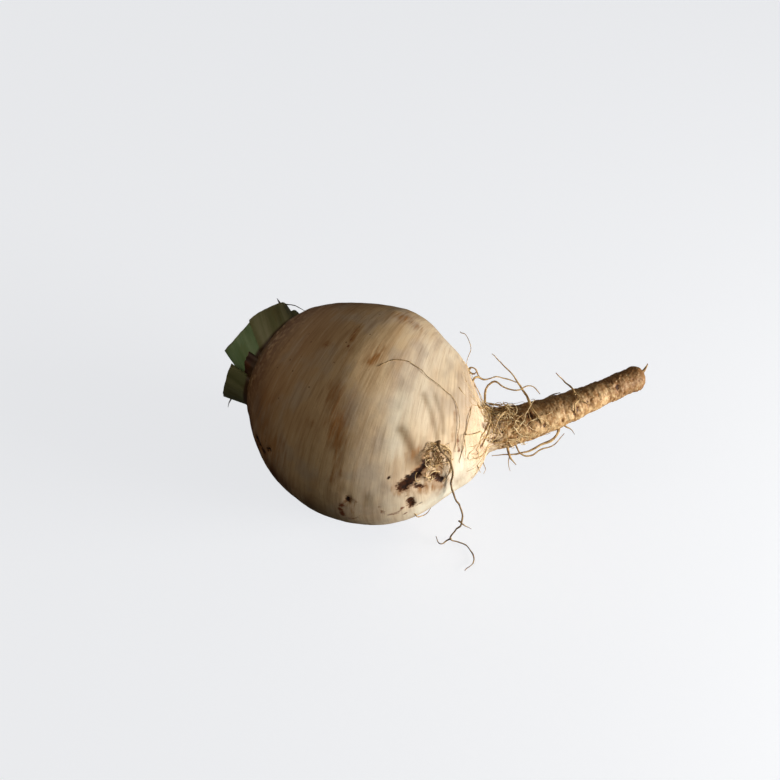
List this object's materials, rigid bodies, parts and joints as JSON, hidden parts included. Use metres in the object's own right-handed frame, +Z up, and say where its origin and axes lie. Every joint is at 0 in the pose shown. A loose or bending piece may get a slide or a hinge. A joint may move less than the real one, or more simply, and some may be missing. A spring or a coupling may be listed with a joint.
{
  "type": "turnip",
  "caption": "White turnip lying on its side: a round bulb, a ringed tapering taproot with rootlets, and cut leaf-stalk stubs on the crown.",
  "frame": {"origin": "on the small flat spot that the turnip rests on, under its weight", "axes": "+Z up, +X towards the taproot's tip along the turnip's length, -Y towards the viewer of the picture"},
  "size_m": [0.1712, 0.0956, 0.0859],
  "materials": {
    "turnip_skin": "smooth cream root skin with brown stains and a faint waxy sheen",
    "leaf_stalk": "ribbed green leaf stalk, dull, with a dry brown cut end"
  },
  "bodies": {
    "root": {"root": "turnip_skin", "leaf_stub_1": "leaf_stalk", "leaf_stub_2": "leaf_stalk", "leaf_stub_3": "leaf_stalk", "leaf_stub_4": "leaf_stalk", "leaf_stub_5": "leaf_stalk", "leaf_stub_6": "leaf_stalk", "leaf_stub_7": "leaf_stalk", "leaf_stub_8": "leaf_stalk", "leaf_stub_9": "leaf_stalk"}
  },
  "joints": []
}
